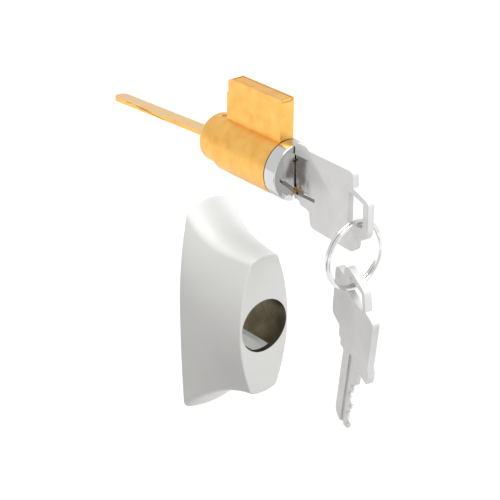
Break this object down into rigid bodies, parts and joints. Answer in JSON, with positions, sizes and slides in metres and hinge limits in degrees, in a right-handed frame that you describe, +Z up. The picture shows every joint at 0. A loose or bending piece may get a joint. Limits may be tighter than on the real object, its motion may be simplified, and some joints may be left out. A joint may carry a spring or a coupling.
{
  "type": "keyed window lock",
  "caption": "Keyed lock kit: waisted painted housing with a round bore, and above it a pin tumbler cylinder with tailpiece, inserted key, split ring and hanging spare key.",
  "frame": {"origin": "on the axis of the housing's bore, in the plane of its rear rim, which lies against the door", "axes": "-Y out of the lock's face towards the user, +Y into the door, +X to the right of someone facing the lock, +Z up"},
  "size_m": [0.023, 0.1168, 0.1075],
  "materials": {
    "painted_casting": "satin warm light grey paint on a die casting",
    "brass_body": "yellow satin brass",
    "brass_blade": "pale brushed brass with break-off marks",
    "chromed_plug": "mirror chrome head",
    "pin_brass": "bare turned brass",
    "steel": "bright steel wire and screws",
    "nickel_key": "satin nickel plate",
    "bright_wire": "polished plated wire"
  },
  "bodies": {
    "lock_body": {"housing": "painted_casting", "cylinder_shell": "brass_body", "chamber_cover": "brass_body", "driver_pin_1": "pin_brass", "driver_pin_2": "pin_brass", "driver_pin_3": "pin_brass", "driver_pin_4": "pin_brass", "driver_pin_5": "pin_brass", "pin_spring_1": "steel", "pin_spring_2": "steel", "pin_spring_3": "steel", "pin_spring_4": "steel", "pin_spring_5": "steel"},
    "turning_plug": {"plug": "chromed_plug", "rear_cap": "brass_body", "cap_screw_left": "steel", "cap_screw_right": "steel", "tail_pin": "pin_brass"},
    "loose_tailpiece": {"tailpiece": "brass_blade"},
    "lifting_pin_1": {"key_pin_1": "pin_brass"},
    "lifting_pin_2": {"key_pin_2": "pin_brass"},
    "lifting_pin_3": {"key_pin_3": "pin_brass"},
    "lifting_pin_4": {"key_pin_4": "pin_brass"},
    "lifting_pin_5": {"key_pin_5": "pin_brass"},
    "key_in_lock": {"working_key": "nickel_key"},
    "key_ring": {"split_ring": "bright_wire"},
    "hanging_key": {"spare_key": "nickel_key"}
  },
  "joints": [
    {"name": "plug_turn", "type": "hinge", "parent": "lock_body", "child": "turning_plug", "pos_m": [0, -0.0373, 0.0514], "axis": [0, 1, 0], "range_deg": [-90, 90]},
    {"name": "tailpiece_play", "type": "hinge", "parent": "turning_plug", "child": "loose_tailpiece", "pos_m": [0, -0.0073, 0.0514], "axis": [1, 0, 0], "range_deg": [0, 5.4]},
    {"name": "key_slide", "type": "slide", "parent": "turning_plug", "child": "key_in_lock", "axis": [0, -1, 0], "range_m": [0, 0.03], "deforming": ["key_pin_1", "key_pin_2", "key_pin_3", "key_pin_4", "key_pin_5"]},
    {"name": "pin_drop_1", "type": "slide", "parent": "turning_plug", "child": "lifting_pin_1", "axis": [0, 0, -1], "range_m": [0, 0.00237]},
    {"name": "pin_drop_2", "type": "slide", "parent": "turning_plug", "child": "lifting_pin_2", "axis": [0, 0, -1], "range_m": [0, 0.00127]},
    {"name": "pin_drop_3", "type": "slide", "parent": "turning_plug", "child": "lifting_pin_3", "axis": [0, 0, -1], "range_m": [0, 0.00277]},
    {"name": "pin_drop_4", "type": "slide", "parent": "turning_plug", "child": "lifting_pin_4", "axis": [0, 0, -1], "range_m": [0, 0.00177]},
    {"name": "pin_drop_5", "type": "slide", "parent": "turning_plug", "child": "lifting_pin_5", "axis": [0, 0, -1], "range_m": [0, 0.00247]},
    {"name": "ring_swing", "type": "hinge", "parent": "key_in_lock", "child": "key_ring", "pos_m": [0, -0.0621, 0.0455], "axis": [0, 1, 0], "range_deg": [-30, 18]},
    {"name": "spare_key_swing", "type": "hinge", "parent": "key_ring", "child": "hanging_key", "pos_m": [-0.00049, -0.0621, 0.02812], "axis": [0, 1, 0], "range_deg": [-25, 25]}
  ],
  "couplings": [
    {"joint": "pin_drop_1", "follows": "key_slide", "ratio": 0.077333},
    {"joint": "pin_drop_2", "follows": "key_slide", "ratio": 0.040667},
    {"joint": "pin_drop_3", "follows": "key_slide", "ratio": 0.090667},
    {"joint": "pin_drop_4", "follows": "key_slide", "ratio": 0.057333},
    {"joint": "pin_drop_5", "follows": "key_slide", "ratio": 0.080667}
  ]
}
